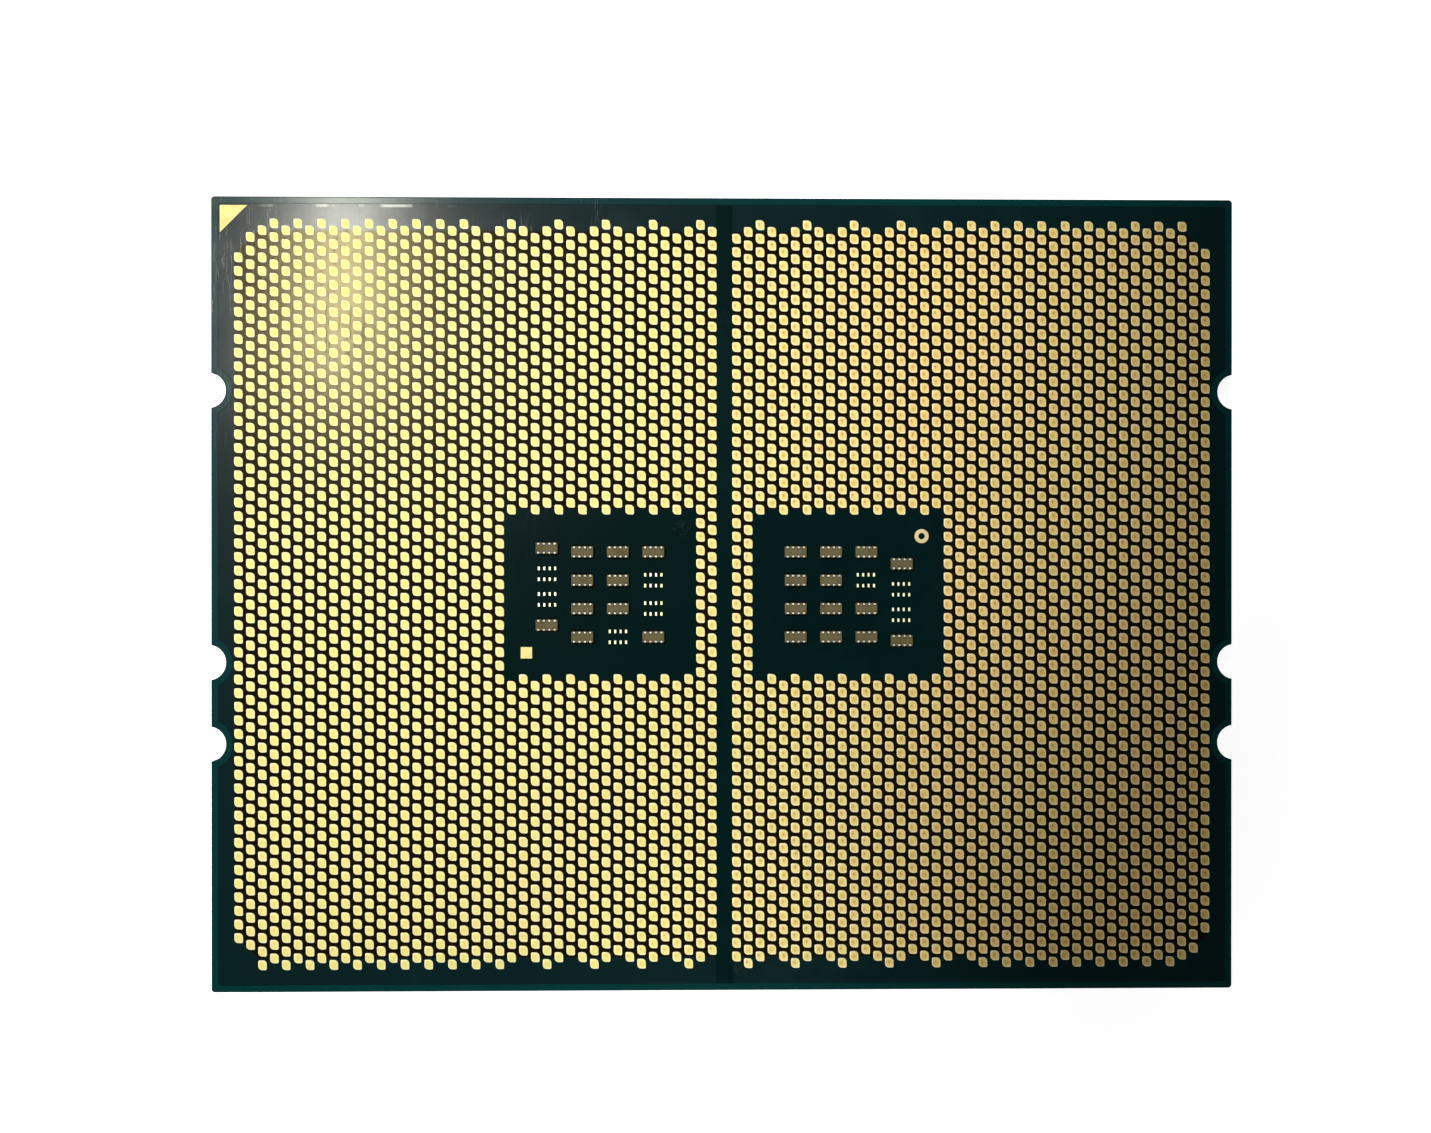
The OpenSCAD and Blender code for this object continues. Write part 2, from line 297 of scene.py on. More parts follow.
def new_material(name: str) -> tuple[Material, Graph, Node]:
    """Start a material with a principled shader.

    Args:
        name: The material's name.

    Returns:
        The material, its graph and its shader node.
    """
    material = bpy.data.materials.new(name)
    material.use_nodes = True
    graph = Graph(material.node_tree)
    graph.tree.nodes.clear()
    shader = graph.add("ShaderNodeBsdfPrincipled")
    graph.add("ShaderNodeOutputMaterial", {"Surface": shader.outputs["BSDF"]})
    return material, graph, shader


@dataclass(frozen=True)
class Scuff:
    """Place and reach of one scuff on the board, in millimetres."""

    x: float
    y: float
    reach_x: float
    reach_y: float

    def mask(self, graph: Graph) -> NodeSocket:
        """The scuff as a mask from 0 to 1."""
        return graph.group(Effect.SCUFF, Centre_X=self.x, Centre_Y=self.y,
                           Reach_X=self.reach_x, Reach_Y=self.reach_y)


@dataclass(frozen=True)
class MaskFinish:
    """Solder mask: nearly black over copper, teal where there is none, laminate on the cut edges."""

    name: str
    over_copper: Colour
    over_copper_worn: Colour
    glint: Colour = (1.0, 0.99, 0.88)
    scuffs: tuple[Scuff, ...] = ()
    painted_step_highlight: bool = False
    bare_strip: Colour = (0.0009, 0.036, 0.036)
    scuffed: Colour = (0.009, 0.021, 0.0195)
    # Colour of the painted highlight where the copper step catches the light
    step_highlight: Colour = (0.66, 0.66, 0.57)
    laminate: Colour = (0.10, 0.115, 0.06)
    laminate_dark: Colour = (0.018, 0.035, 0.022)
    layers_per_mm: float = 1.1
    layer_edge: Span = (0.25, 0.75)
    fibres_per_mm: float = 3.0
    fibre_stretch: Place = (1.0, 1.0, 6.0)
    wall_to_face: Span = (0.35, 0.75)
    copper_edge: float = 0.25
    cut_depth: float = 2.0
    cut_roughness: float = 0.7
    roughness: Span = (0.13, 0.16)
    gloss: float = 0.0385
    haze: float = 0.034
    haze_roughness: float = 0.30
    hair_height: float = -0.5
    grain_depth: float = 1.8 * MICRON
    # Place and dashes of the painted highlight along the copper step's upper edge
    step_glint_y: float = 28.58 * MM
    step_glint_width: Span = (0.15 * MM, 0.05 * MM)
    step_glint_start: Span = (-34.5 * MM, -32.5 * MM)
    step_glint_end: Span = (-19.5 * MM, -23.5 * MM)
    step_glint_stretch: Place = (0.42, 0.05, 0.0)
    step_glint_dashes: Span = (0.46, 0.60)
    step_glint_strength: float = 0.8

    def material(self, low: float, high: float, step: float) -> Material:
        """Build the material.

        Args:
            low: Height of the board's lid side.
            high: Height of the mask over copper on the land side.
            step: How far the edge strip lies below that.

        Returns:
            The material.
        """
        material, graph, shader = new_material(self.name)
        x, y, z = graph.split(graph.place())
        smudges = graph.group(Effect.SMUDGES, Per_mm=0.10, Threshold=0.50)
        hair = graph.group(Effect.HAIRLINES, Per_mm=7.0, Threshold=0.58)
        grain = graph.group(Effect.GRAIN, Per_mm=9.0, Coarse_share=0.4)
        copper = graph.ramp(z, high - step, high - self.copper_edge * step)
        dark = graph.blend(smudges, self.over_copper, self.over_copper_worn)
        face = graph.blend(copper, self.bare_strip, dark)
        for scuff in self.scuffs:
            face = graph.blend(scuff.mask(graph), face, self.scuffed)
        # Painted highlight: a pale dashed line along the copper step, where it catches the light near the
        # glare
        if self.painted_step_highlight:
            face = graph.blend(self.step_glint(graph, x, y), face, self.step_highlight)
        flat = graph.ramp(graph.level(), *self.wall_to_face)
        above = graph.ramp(z, low, low + step)
        below = graph.ramp(z, high, high - self.cut_depth * step)
        cut = graph.product(graph.math("SUBTRACT", 1.0, flat), above, below)
        worn = graph.span(graph.math("MAXIMUM", smudges, hair), *self.roughness)
        graph.feed(shader, {
            "Base Color": graph.blend(cut, face, self.cut_edge(graph)),
            "Roughness": graph.math("MAXIMUM", worn, graph.product(cut, self.cut_roughness)),
            "Specular IOR Level": self.gloss,
            "Specular Tint": self.glint,
            "Coat Weight": self.haze,
            "Coat Roughness": self.haze_roughness,
        })
        graph.bump(shader, graph.math("MULTIPLY_ADD", hair, self.hair_height, grain), self.grain_depth)
        return material

    def cut_edge(self, graph: Graph) -> NodeSocket:
        """The laminate's layers and fibres, as they show on a cut edge.

        Args:
            graph: The material's graph.

        Returns:
            Their colour.
        """
        wave = {"Scale": self.layers_per_mm, "Distortion": 0.6, "Detail": 2.0}
        bands = graph.add("ShaderNodeTexWave", {"Vector": graph.millimetres(), **wave}, bands_direction="Z")
        layers = graph.ramp(bands.outputs["Fac"], *self.layer_edge)
        fibres = graph.noise(graph.millimetres(self.fibre_stretch), self.fibres_per_mm)
        return graph.blend(graph.product(layers, fibres), self.laminate_dark, self.laminate)

    def step_glint(self, graph: Graph, x: NodeSocket, y: NodeSocket) -> NodeSocket:
        """Painted highlight: a broken pale line along the copper's upper edge, where the step catches the
        light.

        Args:
            graph: The material's graph.
            x: The place along X.
            y: The place along Y.

        Returns:
            A mask from 0 to 1.
        """
        away = graph.math("ABSOLUTE", graph.math("SUBTRACT", y, self.step_glint_y))
        line = graph.ramp(away, *self.step_glint_width)
        start = graph.ramp(x, *self.step_glint_start)
        end = graph.ramp(x, *self.step_glint_end)
        noise = graph.noise(graph.millimetres(self.step_glint_stretch), 1.0, Detail=3.0)
        dashes = graph.ramp(noise, *self.step_glint_dashes)
        return graph.product(line, start, end, dashes, self.step_glint_strength)


MASKS = {
    Region.MARGIN: MaskFinish(
        "solder_mask",
        over_copper=(0.0022, 0.0152, 0.0164),
        over_copper_worn=(0.0032, 0.0189, 0.0200),
        scuffs=(Scuff(1.1, -27.8, 1.2, 0.6), Scuff(3.3, -28.1, 0.7, 0.4)),
        # Painted highlight along the copper step
        painted_step_highlight=True,
    ),
    Region.WINDOW: MaskFinish(
        "window_mask",
        over_copper=(0.0005, 0.0108, 0.0112),
        over_copper_worn=(0.0013, 0.0140, 0.0147),
        scuffs=(Scuff(-3.2, 4.9, 0.8, 0.8),),
        haze=0.0136,
    ),
    # Between the lands: a warm brown colour and a gold-tinted glint, painted reflection of light from the
    # gold lands on the dark mask
    Region.BETWEEN_LANDS: MaskFinish(
        "land_field_mask",
        over_copper=(0.0085, 0.0062, 0.0012),
        over_copper_worn=(0.0102, 0.0077, 0.0017),
        glint=(1.0, 0.86, 0.42),
        haze=0.007,
    ),
}


@dataclass(frozen=True)
class LandFinish:
    """Gold flash over nickel, satin, with a contact mark on each land and a painted highlight on its
    shoulders; painted light also shifts the hue from the lit left bank to the shaded right and fades the
    marks on the lit side, and the marks' halo is partly painted shade.
    """

    # Painted light: yellower tints where the key light falls on the left bank, more orange tints in the
    # shade to the right
    lit_tint_olive: Colour = (0.800, 0.788, 0.276)
    lit_tint_rose: Colour = (0.849, 0.743, 0.293)
    shade_tint_olive: Colour = (0.864, 0.725, 0.247)
    shade_tint_rose: Colour = (0.915, 0.684, 0.262)
    shade_tint_reach: Span = (4.0 * MM, 16.0 * MM)
    tint_drift: float = 0.6
    tint_scatter: float = 0.5
    seed_turns: Span = (17.31, 71.77)
    # Painted highlight: the land's shoulders paler where they catch light from the sides
    shoulder_highlight: Colour = (1.0, 0.90, 0.63)
    shoulder_highlight_reach: Span = (0.12, 0.85)
    shoulder_highlight_power: float = 4.0
    # Halo round the contact mark: partly the mark's stain, partly painted shade that darkens and warms the
    # middle of the land
    halo_shade: Colour = (0.77, 0.53, 0.14)
    halo_shade_reach: Span = (0.40, 0.10)
    halo_shade_strength: Span = (0.5, 0.8)
    mark: Colour = (0.46, 0.28, 0.075)
    mark_reach: Span = (0.19, 0.09)
    mark_strength: Span = (0.12, 0.77)
    mark_x: Span = (0.39, 0.53)
    mark_y: Span = (0.46, 0.60)
    mark_slimness: Span = (1.0, 1.6)
    mark_unevenness: float = 0.10
    mark_height: float = -1.2
    # Painted light: marks and halo fade towards the brightly lit left bank, as if washed out by the light
    washout_reach: Span = (-12.0 * MM, 8.0 * MM)
    washout_strength: Span = (0.2, 1.0)
    roughness: Span = (0.61, 0.71)
    grain_depth: float = 2.5 * MICRON
    uv_name: str = "on_land"
    uv_middle: float = 0.5
    seed_name: str = "land_seed"

    @cache
    def material(self, width: float, height: float) -> Material:
        """Build the material, with its own tint and contact mark for each land.

        Args:
            width: A land's width.
            height: A land's height.

        Returns:
            The material.
        """
        material, graph, shader = new_material("gold_lands")
        grain = graph.group(Effect.GRAIN, Per_mm=11.0, Coarse_share=0.35)
        seed = graph.attribute(self.seed_name)
        second, third = (graph.math("FRACT", graph.product(seed, turns)) for turns in self.seed_turns)
        drift = graph.group(Effect.SMUDGES, Per_mm=0.05, Threshold=0.44)
        scatter = graph.product(second, self.tint_scatter)
        share = graph.math("MULTIPLY_ADD", drift, self.tint_drift, scatter)
        lit_tint = graph.blend(share, self.lit_tint_olive, self.lit_tint_rose)
        shade_tint = graph.blend(share, self.shade_tint_olive, self.shade_tint_rose)
        x = graph.split(graph.place())[0]
        # Painted light: the hue shifts from the lit tint on the left to the shade tint on the right
        tint = graph.blend(graph.ramp(x, *self.shade_tint_reach), lit_tint, shade_tint)
        spot = graph.split(graph.add("ShaderNodeUVMap", uv_map=self.uv_name).outputs["UV"])[:2]
        away = self.from_mark(graph, spot, (third, second))
        uneven = graph.math("MULTIPLY_ADD", grain, self.mark_unevenness, away)
        # Halo: partly the mark's stain, partly painted shade over the land's middle
        halo_shade_mask = graph.ramp(uneven, *self.halo_shade_reach)
        core = graph.ramp(uneven, *self.mark_reach)
        # Painted light: marks fade where the key light falls strongly on the left
        unlit_share = graph.span(graph.ramp(x, *self.washout_reach), *self.washout_strength)
        soft = graph.product(halo_shade_mask, unlit_share, graph.span(third, *self.halo_shade_strength))
        hard = graph.product(core, unlit_share, graph.span(second, *self.mark_strength))
        face = graph.blend(hard, graph.blend(soft, tint, self.halo_shade), self.mark)
        graph.feed(shader, {
            # Painted highlight on the land's shoulders
            "Base Color": graph.blend(self.shoulders(graph, spot, (width, height)), face, self.shoulder_highlight),
            "Metallic": 1.0,
            "Roughness": graph.span(grain, *self.roughness),
        })
        graph.bump(shader, graph.math("MULTIPLY_ADD", core, self.mark_height, grain), self.grain_depth)
        return material

    def from_mark(self, graph: Graph, spot: Sockets, chances: Sockets) -> NodeSocket:
        """Distance of a place on a land from the land's contact mark.

        Args:
            graph: The material's graph.
            spot: The place on the land, in millimetres.
            chances: Two numbers from 0 to 1 that differ from land to land.

        Returns:
            The distance in millimetres, greater across a slim mark.
        """
        centre = (graph.span(chance, *reach) for chance, reach in zip(chances, (self.mark_x, self.mark_y)))
        across, along = (graph.math("SUBTRACT", part, middle) for part, middle in zip(spot, centre))
        slim = graph.product(across, graph.span(chances[1], *self.mark_slimness))
        return graph.math("SQRT", graph.math("ADD", graph.product(slim, slim), graph.product(along, along)))

    def shoulders(self, graph: Graph, spot: Sockets, sizes: Span) -> NodeSocket:
        """Mask of the painted highlight on a land's shoulders.

        Args:
            graph: The material's graph.
            spot: The place on the land, in millimetres.
            sizes: The land's width and height.

        Returns:
            A mask that grows to 1 at the land's edge.
        """
        powers = []
        for part, size in zip(spot, sizes):
            share = graph.product(graph.math("SUBTRACT", part, self.uv_middle), 2.0 * MM / size)
            powers.append(graph.math("POWER", graph.math("ABSOLUTE", share), self.shoulder_highlight_power))
        return graph.ramp(graph.math("ADD", *powers), *self.shoulder_highlight_reach)


@dataclass(frozen=True)
class PlainFinish:
    """A finish of one colour that varies with grain and smudges."""

    name: str
    colour: Colour
    second: Colour
    roughness: Span
    per_mm: float
    depth: float
    metallic: float = 1.0
    gloss: float = 0.5
    smudge_scale: float = 0.08
    speckle: Span = (0.35, 0.65)

    @cache
    def material(self) -> Material:
        """Build the material once.

        Returns:
            The material.
        """
        material, graph, shader = new_material(self.name)
        grain = graph.group(Effect.GRAIN, Per_mm=self.per_mm, Coarse_share=0.35)
        smudges = graph.group(Effect.SMUDGES, Per_mm=self.per_mm * self.smudge_scale, Threshold=0.47)
        both = graph.math("ADD", smudges, graph.ramp(grain, *self.speckle))
        share = graph.math("DIVIDE", both, 2.0)
        graph.feed(shader, {
            "Base Color": graph.blend(share, self.colour, self.second),
            "Roughness": graph.span(share, *self.roughness),
            "Metallic": self.metallic,
            "Specular IOR Level": self.gloss,
        })
        graph.bump(shader, grain, self.depth)
        return material


CERAMIC = PlainFinish(
    "capacitor_ceramic", (0.162, 0.132, 0.058), (0.117, 0.092, 0.038),
    roughness=(0.52, 0.72), per_mm=9.0, depth=6.0 * MICRON, metallic=0.0, gloss=0.1,
)
GOLD = PlainFinish(
    "gold_flash", (0.755, 0.68, 0.275), (0.79, 0.645, 0.288),
    roughness=(0.61, 0.71), per_mm=11.0, depth=2.0 * MICRON,
)
PAD = PlainFinish(
    "tinned_gold", (0.89, 0.89, 0.58), (0.82, 0.80, 0.50),
    roughness=(0.475, 0.625), per_mm=12.0, depth=3.0 * MICRON,
)
PALE_GOLD = PlainFinish(
    "pale_gold", (0.72, 0.62, 0.355), (0.68, 0.565, 0.295),
    roughness=(0.56, 0.68), per_mm=12.0, depth=3.0 * MICRON,
)
TIN = PlainFinish(
    "bright_tin", (0.72, 0.71, 0.67), (0.58, 0.57, 0.53),
    roughness=(0.26, 0.42), per_mm=7.0, depth=4.0 * MICRON,
)
# Near black: painted shade for the dark reflections of the steep fillets; the solder itself is bright metal
FILLET = PlainFinish(
    "solder_fillet", (0.020, 0.018, 0.012), (0.012, 0.011, 0.007),
    roughness=(0.32, 0.52), per_mm=9.0, depth=4.0 * MICRON,
)
NICKEL = PlainFinish(
    "satin_nickel", (0.55, 0.54, 0.52), (0.47, 0.46, 0.44),
    roughness=(0.27, 0.41), per_mm=5.0, depth=4.0 * MICRON,
)
SILICONE = PlainFinish(
    "silicone_seal", (0.035, 0.036, 0.038), (0.055, 0.056, 0.058),
    roughness=(0.56, 0.76), per_mm=4.0, depth=10.0 * MICRON, metallic=0.0,
)
SILICON = PlainFinish(
    "ground_silicon", (0.20, 0.21, 0.24), (0.15, 0.16, 0.19),
    roughness=(0.17, 0.27), per_mm=7.0, depth=1.0 * MICRON, metallic=0.85,
)
RESIN = PlainFinish(
    "cured_resin", (0.11, 0.07, 0.03), (0.16, 0.10, 0.045),
    roughness=(0.21, 0.35), per_mm=3.0, depth=6.0 * MICRON, metallic=0.0,
)
SOLDER = PlainFinish(
    "soft_solder", (0.56, 0.57, 0.59), (0.46, 0.47, 0.49),
    roughness=(0.37, 0.55), per_mm=4.0, depth=6.0 * MICRON,
)


@dataclass(frozen=True)
class TerminalFinish:
    """Terminals with a painted highlight along the block's edges, grey on its walls, and painted shade on
    the rest of their tops and at their own edges.
    """

    bright: Colour = (0.87, 0.88, 0.72)
    dim: Colour = (0.63, 0.63, 0.50)
    # Near-black painted shade on the top away from the highlight, though real tin is bright
    painted_shade: Colour = (0.020, 0.017, 0.010)
    wall: Colour = (0.42, 0.41, 0.37)
    speckle: Span = (0.42, 0.56)
    bright_start: Span = (0.25, 0.50)
    bright_end: Span = (0.98, 0.88)
    bright_width: Span = (1.0, 0.6)
    face_to_wall: Span = (0.35, 0.10)
    metallic: float = 0.3
    roughness: float = 0.56
    grain_depth: float = 4.0 * MICRON
    tip_name: str = "terminal_tip"
    side_name: str = "terminal_side"

    @cache
    def material(self) -> Material:
        """Build the material once.

        Returns:
            The material.
        """
        material, graph, shader = new_material("plated_terminal")
        tip = graph.attribute(self.tip_name)
        aside = graph.math("ABSOLUTE", graph.attribute(self.side_name))
        grain = graph.group(Effect.GRAIN, Per_mm=5.0, Coarse_share=0.3)
        plated = graph.blend(graph.ramp(grain, *self.speckle), self.bright, self.dim)
        # Painted highlight: bright plating only in a strip along the block's long edge, painted shade
        # elsewhere on the top
        start, end = graph.ramp(tip, *self.bright_start), graph.ramp(tip, *self.bright_end)
        glint_mask = graph.product(start, end, graph.ramp(aside, *self.bright_width))
        upright = graph.ramp(graph.level(), *self.face_to_wall)
        face = graph.blend(glint_mask, self.painted_shade, plated)
        graph.feed(shader, {
            "Base Color": graph.blend(upright, face, self.wall),
            "Metallic": self.metallic,
            "Roughness": self.roughness,
        })
        graph.bump(shader, grain, self.grain_depth)
        return material


def into_mesh(name: str, bm: BMesh) -> Mesh:
    """Turn a shape into a mesh and free it.

    Args:
        name: The mesh's name.
        bm: The shape.

    Returns:
        The mesh.
    """
    mesh = bpy.data.meshes.new(name)
    bm.to_mesh(mesh)
    bm.free()
    return mesh


def into_scene(name: str, data: ID) -> Object:
    """Put a mesh, a lamp or a camera into the scene.

    Args:
        name: The object's name.
        data: What it shows.

    Returns:
        The object.
    """
    item = bpy.data.objects.new(name, data)
    bpy.context.scene.collection.objects.link(item)
    return item


def add_piece(name: str, bm: BMesh, material: Material, slot: Slot, *nodes: str) -> Object:
    """Turn a shape into a piece of the object.

    Args:
        name: The piece's name.
        bm: Its shape, in the frame's own place. It is freed.
        material: Its finish.
        slot: The record's slot that the finish belongs to; not used.
        nodes: The CAD nodes that the piece stands for.

    Returns:
        The new object.
    """
    mesh = into_mesh(name, bm)
    mesh.materials.append(material)
    piece = into_scene(name, mesh)
    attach(piece, BODY)
    if nodes:
        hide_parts(*nodes)
    LOG.info("%s: %d faces", name, len(mesh.polygons))
    return piece


def dress_node(name: str, finish: PlainFinish) -> None:
    """Give a CAD node that stays as it is a better finish.

    Args:
        name: The node's name.
        finish: Its finish.
    """
    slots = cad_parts[name].data.materials
    slots.clear()
    slots.append(finish.material())
    LOG.info("%s: dressed", name)


def merged_copy(node: str) -> BMesh:
    """Copy a CAD node's mesh with its triangles joined into whole faces.

    Args:
        node: The node's name.

    Returns:
        The copy.
    """
    bm = bmesh.new()
    bm.from_mesh(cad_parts[node].data)
    bmesh.ops.remove_doubles(bm, verts=bm.verts, dist=0.2 * MICRON)
    bmesh.ops.dissolve_limit(bm, angle_limit=math.radians(0.5), verts=bm.verts, edges=bm.edges)
    return bm


def round_off(bm: BMesh, geom: list[BMEdge | BMVert], bevel: Bevel, affect: str = "EDGES") -> None:
    """Round some edges or corners of a shape, by a bevel's width and number of segments."""
    bmesh.ops.bevel(bm, geom=geom, offset=bevel[0], offset_type="OFFSET", segments=bevel[1], profile=0.5,
                    affect=affect, clamp_overlap=True, material=-1)


def soften(bm: BMesh, bevel: Bevel) -> None:
    """Round every sharp edge of a shape, by a bevel's width and number of segments."""
    edges = [edge for edge in bm.edges if edge.is_manifold and edge.calc_face_angle() > SHARP]
    round_off(bm, edges, bevel)


def lift(bm: BMesh, verts: Iterable[BMVert], height: float) -> None:
    """Move some corners of a shape up by a height, or down where it is negative."""
    bmesh.ops.translate(bm, vec=Vector((0.0, 0.0, height)), verts=list(verts))


def inset_border(bm: BMesh, face: BMFace, width: float) -> list[BMVert]:
    """Shrink a face by a width, and find the corners on the outer side of the border left round it."""
    inset = bmesh.ops.inset_region(bm, faces=[face], thickness=width, depth=0.0, use_even_offset=True)
    return list({vert for part in inset["faces"] for vert in part.verts} - set(face.verts))


@dataclass
class Board:
    """The laminate board with its raised copper field."""

    copper_height: float = 0.02 * MM
    ramp: float = 0.03 * MM
    ramp_drop: float = 0.008 * MM
    edge_round: Bevel = (0.07 * MM, 2)
    edge_angle: float = math.radians(60.0)
    bank_x: Span = (0.62 * MM, 35.95 * MM)
    bank_y: float = 26.75 * MM
    bank_corner: float = 61.0 * MM
    window_x: Span = (2.05 * MM, 16.27 * MM)
    window_y: float = 6.3 * MM

    def build(self) -> None:
        """Build the board with rounded edges and a sloped step round the copper field."""
        low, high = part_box("substrate")
        bm = merged_copy("substrate")
        top = max((face for face in bm.faces if face.normal.z > LEVEL), key=BMFace.calc_area)
        rim = [edge for edge in bm.edges if self.is_rim(edge, high.z)]
        round_off(bm, rim, self.edge_round)
        lift(bm, inset_border(bm, top, self.ramp), -self.ramp_drop)
        for face in self.split(bm, top):
            face.material_index = self.region(face.calc_center_median_weighted()).value
        materials = [MASKS[region].material(low.z, high.z, self.copper_height) for region in Region]
        board = add_piece("board", bm, materials[0], Slot.BOARD, "substrate")
        for material in materials[1:]:
            board.data.materials.append(material)

    def split(self, bm: BMesh, top: BMFace) -> list[BMFace]:
        """Cut the copper field along the borders of the banks of lands and their windows.

        Args:
            bm: The board.
            top: The copper field's face.

        Returns:
            The faces that it falls into.
        """
        planes = [
            *((Vector((sign, 0.0, 0.0)), x) for x in self.bank_x + self.window_x for sign in SIGNS),
            *((Vector((0.0, sign, 0.0)), y) for y in (self.bank_y, self.window_y) for sign in SIGNS),
            *((Vector((across, along, 0.0)), self.bank_corner) for across in SIGNS for along in SIGNS),
        ]
        geom = [top, *top.edges, *top.verts]
        for normal, reach in planes:
            spot = normal * (reach / normal.length_squared)
            cut = bmesh.ops.bisect_plane(bm, geom=geom, dist=0.1 * MICRON, plane_co=spot, plane_no=normal)
            geom = cut["geom"]
        return [part for part in geom if isinstance(part, BMFace)]

    def region(self, place: Vector) -> Region:
        """The region of the land side that a place lies in.

        Args:
            place: The place.

        Returns:
            Its region.
        """
        x, y = abs(place.x), abs(place.y)
        if x < self.bank_x[0] or (self.window_x[0] < x < self.window_x[1] and y < self.window_y):
            return Region.WINDOW
        banked = x < self.bank_x[1] and y < self.bank_y and x + y < self.bank_corner
        return Region.BETWEEN_LANDS if banked else Region.MARGIN

    def is_rim(self, edge: BMEdge, high: float) -> bool:
        """Whether an edge runs round the board's outer wall, below the height of the copper field."""
        heights = [vert.co.z for vert in edge.verts]
        return (max(heights) - min(heights) <= MICRON and heights[0] < high - self.copper_height / 2
                and edge.is_manifold and edge.is_convex and edge.calc_face_angle() >= self.edge_angle)


@dataclass
class LandField:
    """The two banks of lands: a staggered grid with trimmed ends and a window in each bank."""

    pitch_x: float = 0.87 * MM
    pitch_y: float = 1.0 * MM
    gap: float = 1.79 * MM
    columns: int = 41
    half_rows: int = 110
    window_columns: range = range(2, 18)
    window_half_rows: range = range(43, 67)
    trim_step: int = 4
    top_trim_phase: int = 3
    top_trim_last: int = 19
    bottom_trim_last: int = 16
    outer_trim: int = 4
    next_trim: int = 2
    land_width: float = 0.630 * MM
    land_height: float = 0.722 * MM
    tight_corner: Bevel = (0.07 * MM, 1)
    round_corner: Bevel = (0.27 * MM, 3)
    shoulders: tuple[Span, ...] = ((0.02 * MM, 0.010 * MM), (0.09 * MM, 0.004 * MM))
    smooth_slope: Span = (0.1, 0.98)
    random_seed: int = 11
    finish: LandFinish = LandFinish()

    def end_trim(self, column: int, phase: int, last: int) -> int:
        """Half rows left out at one end of a column.

        Args:
            column: The column, counted outwards from the gap.
            phase: Which columns of each four lose their last land.
            last: The last column that does.

        Returns:
            The number of half rows.
        """
        if column == self.columns - 1:
            return self.outer_trim
        if column == self.columns - 2:
            return self.next_trim
        trimmed = column % self.trim_step == phase and column <= last
        return self.next_trim if trimmed else 0

    def has_land(self, column: int, half_row: int) -> bool:
        """Whether the left bank has a land at a place of the grid.

        Args:
            column: The column, counted outwards from the gap.
            half_row: The half row, counted from the top.

        Returns:
            True if there is a land.
        """
        first = self.end_trim(column, self.top_trim_phase, self.top_trim_last)
        last = self.half_rows - 1 - self.end_trim(column, 0, self.bottom_trim_last)
        windowed = column in self.window_columns and half_row in self.window_half_rows
        return (column + half_row) % 2 == 1 and first <= half_row <= last and not windowed

    def centres(self, side: Side) -> Iterator[tuple[float, float]]:
        """Centres of one bank's lands, the right bank being the left one turned half round.

        Args:
            side: The bank.

        Yields:
            Each land's X and Y.
        """
        turn = -side.value
        for column in range(self.columns):
            for half_row in range(self.half_rows):
                if self.has_land(column, half_row):
                    x = self.gap / 2 + column * self.pitch_x
                    y = ((self.half_rows - 1) / 2 - half_row) * self.pitch_y / 2
                    yield -turn * x, turn * y

    def one_land(self, base: float, height: float) -> Mesh:
        """Model one land at the origin: a plated pad with two tight and two round corners.

        Args:
            base: Height of the face that it stands on.
            height: Height of the land.

        Returns:
            Its mesh, with a UV map and an empty seed.
        """
        bm = bmesh.new()
        bmesh.ops.create_grid(bm, x_segments=1, y_segments=1, size=0.5)
        bmesh.ops.scale(bm, vec=Vector((self.land_width, self.land_height, 1.0)), verts=bm.verts)
        tight = [vert for vert in bm.verts if vert.co.x * vert.co.y < 0.0]
        wide = [vert for vert in bm.verts if vert.co.x * vert.co.y > 0.0]
        round_off(bm, tight, self.tight_corner, "VERTICES")
        round_off(bm, wide, self.round_corner, "VERTICES")
        grown = bmesh.ops.extrude_face_region(bm, geom=list(bm.faces))["geom"]
        top = next(part for part in grown if isinstance(part, BMFace))
        foot = [face for face in bm.faces if face is not top and len(face.verts) == len(top.verts)]
        lift(bm, top.verts, height)
        for width, drop in self.shoulders:
            lift(bm, inset_border(bm, top, width), -drop)
        bmesh.ops.delete(bm, geom=foot, context="FACES_ONLY")
        lift(bm, bm.verts, base)
        bmesh.ops.recalc_face_normals(bm, faces=bm.faces)
        spot = bm.loops.layers.uv.new(self.finish.uv_name)
        bm.verts.layers.float.new(self.finish.seed_name)
        steep, level = self.smooth_slope
        for face in bm.faces:
            face.smooth = steep < face.normal.z < level
            for loop in face.loops:
                loop[spot].uv = [self.finish.uv_middle + part / MM for part in loop.vert.co.xy]
        return into_mesh("one_land", bm)

    def build(self, side: Side) -> None:
        """Build one bank of lands as one piece.

        Args:
            side: The bank.
        """
        node = f"lands_{side.word}_bank"
        low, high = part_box(node)
        land = self.one_land(low.z, high.z - low.z)
        chance = random.Random(self.random_seed + side.value)
        seeds = land.attributes[self.finish.seed_name].data
        bm = bmesh.new()
        place = Vector((0.0, 0.0, 0.0))
        for x, y in self.centres(side):
            target = Vector((x, y, 0.0))
            land.transform(Matrix.Translation(target - place))
            place = target
            value = chance.random()
            seeds.foreach_set("value", [value] * len(seeds))
            bm.from_mesh(land)
        bpy.data.meshes.remove(land)
        material = self.finish.material(self.land_width, self.land_height)
        add_piece(f"{node}_plated", bm, material, Slot.GOLD, node)


